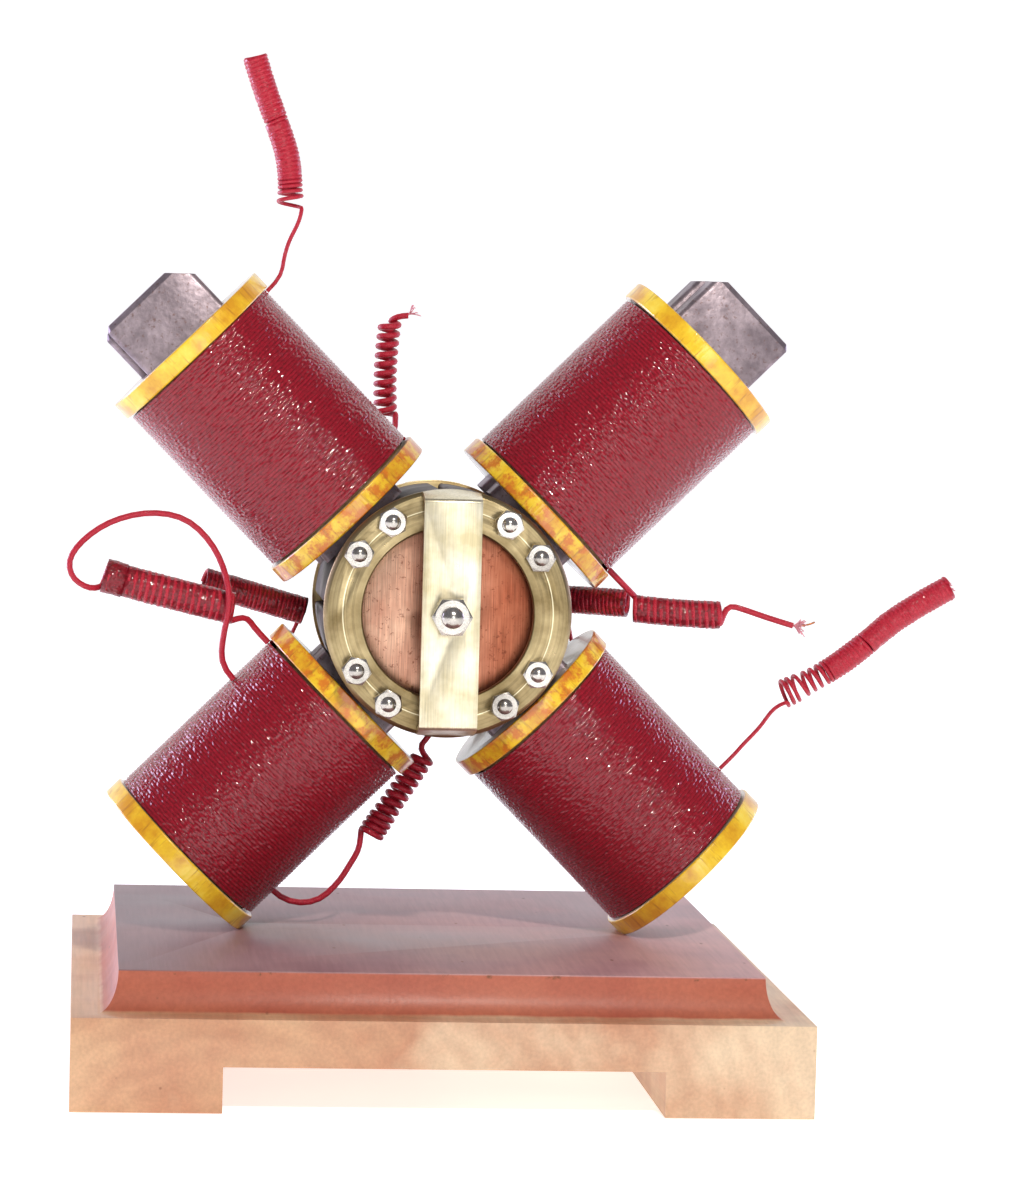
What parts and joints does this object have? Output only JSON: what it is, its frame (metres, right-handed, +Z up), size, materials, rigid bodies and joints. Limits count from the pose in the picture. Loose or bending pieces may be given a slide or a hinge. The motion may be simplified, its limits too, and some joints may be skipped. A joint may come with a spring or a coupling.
{
  "type": "demonstration electric motor",
  "caption": "Open rotating-field motor: crossed coils round a copper rotor between pivot bridges, on a moulded wooden base, with coiled leads.",
  "frame": {"origin": "centre of the underside of the base board, on the surface it stands on", "axes": "+X right, +Y to the back along the rotor's shaft, +Z up"},
  "size_m": [0.2571, 0.2, 0.2861],
  "materials": {
    "base_wood": "satin varnished beech",
    "flange_wood": "yellow varnished wood",
    "brass": "turned and filed, unlacquered",
    "bright_steel": "bright turned",
    "core_steel": "mill finish, stained",
    "core_iron": "dark, oiled",
    "copper": "bare brushed copper",
    "former_card": "varnished card",
    "covered_wire": "waxed cotton covering"
  },
  "bodies": {
    "stator": {"base": "base_wood", "front_ring": "brass", "rear_ring": "brass", "front_bridge": "brass", "rear_bridge": "brass", "clamp_studs": "bright_steel", "front_nuts": "bright_steel", "rear_nuts": "bright_steel", "front_pivot_screw": "bright_steel", "rear_pivot_screw": "bright_steel", "front_lock_nut": "bright_steel", "rear_lock_nut": "bright_steel", "fixing_screws": "bright_steel", "upper_right_pole_shoe": "core_iron", "upper_right_core": "core_steel", "upper_right_inner_flange": "flange_wood", "upper_right_outer_flange": "flange_wood", "upper_right_former": "former_card", "upper_right_winding": "covered_wire", "upper_left_pole_shoe": "core_iron", "upper_left_core": "core_steel", "upper_left_inner_flange": "flange_wood", "upper_left_outer_flange": "flange_wood", "upper_left_former": "former_card", "upper_left_winding": "covered_wire", "lower_left_pole_shoe": "core_iron", "lower_left_core": "core_steel", "lower_left_inner_flange": "flange_wood", "lower_left_outer_flange": "flange_wood", "lower_left_former": "former_card", "lower_left_winding": "covered_wire", "lower_right_pole_shoe": "core_iron", "lower_right_core": "core_steel", "lower_right_inner_flange": "flange_wood", "lower_right_outer_flange": "flange_wood", "lower_right_former": "former_card", "lower_right_winding": "covered_wire", "upper_left_outer_lead_wire": "covered_wire", "upper_left_outer_lead_helix": "covered_wire", "upper_left_inner_lead_wire": "covered_wire", "upper_left_inner_lead_helix": "covered_wire", "lower_left_inner_lead_wire": "covered_wire", "lower_left_inner_lead_helix": "covered_wire", "lower_left_inner_lead_loop": "covered_wire", "lower_left_outer_lead_wire": "covered_wire", "lower_left_outer_lead_helix": "covered_wire", "left_rear_lead_wire": "covered_wire", "left_rear_lead_helix": "covered_wire", "right_rear_lead_wire": "covered_wire", "right_rear_lead_helix": "covered_wire", "upper_right_inner_lead_wire": "covered_wire", "upper_right_inner_lead_helix": "covered_wire", "upper_right_inner_lead_tail": "covered_wire", "lower_right_outer_lead_wire": "covered_wire", "lower_right_outer_lead_helix": "covered_wire"},
    "rotor": {"rotor_drum": "copper", "rotor_front_disc": "copper", "rotor_rear_disc": "copper", "rotor_core": "core_iron", "rotor_shaft": "bright_steel"}
  },
  "joints": [
    {"name": "rotor_spin", "type": "hinge", "parent": "stator", "child": "rotor", "pos_m": [0.003, 0, 0.12979], "axis": [0, 1, 0], "continuous": true}
  ]
}
